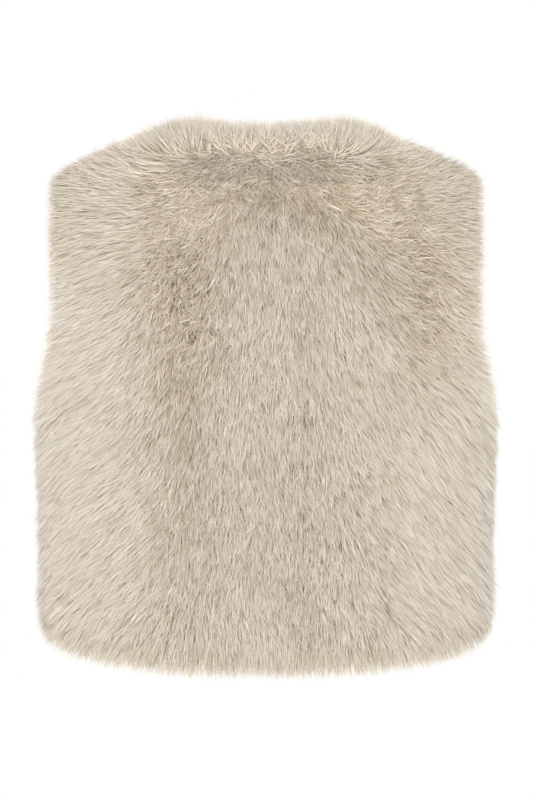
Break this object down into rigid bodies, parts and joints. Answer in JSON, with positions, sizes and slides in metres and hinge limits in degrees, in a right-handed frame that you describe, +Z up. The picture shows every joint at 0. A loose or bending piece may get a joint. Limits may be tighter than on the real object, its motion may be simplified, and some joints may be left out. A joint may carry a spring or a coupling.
{
  "type": "fur gilet",
  "caption": "Collarless cropped gilet in long-pile cream fur, worn shape, with a round neck, open armholes and fronts that meet edge to edge.",
  "frame": {"origin": "midway between the shoulders, at the height where the wearer's shoulders carry the gilet", "axes": "+Z up, +X towards the wearer's left, -Y the front and +Y the back that the picture shows"},
  "size_m": [0.463, 0.3033, 0.5498],
  "materials": {
    "fur": "long soft pile in warm cream, darker at the roots"
  },
  "bodies": {
    "root": {"back": "fur", "front_left": "fur", "front_right": "fur"}
  },
  "joints": []
}
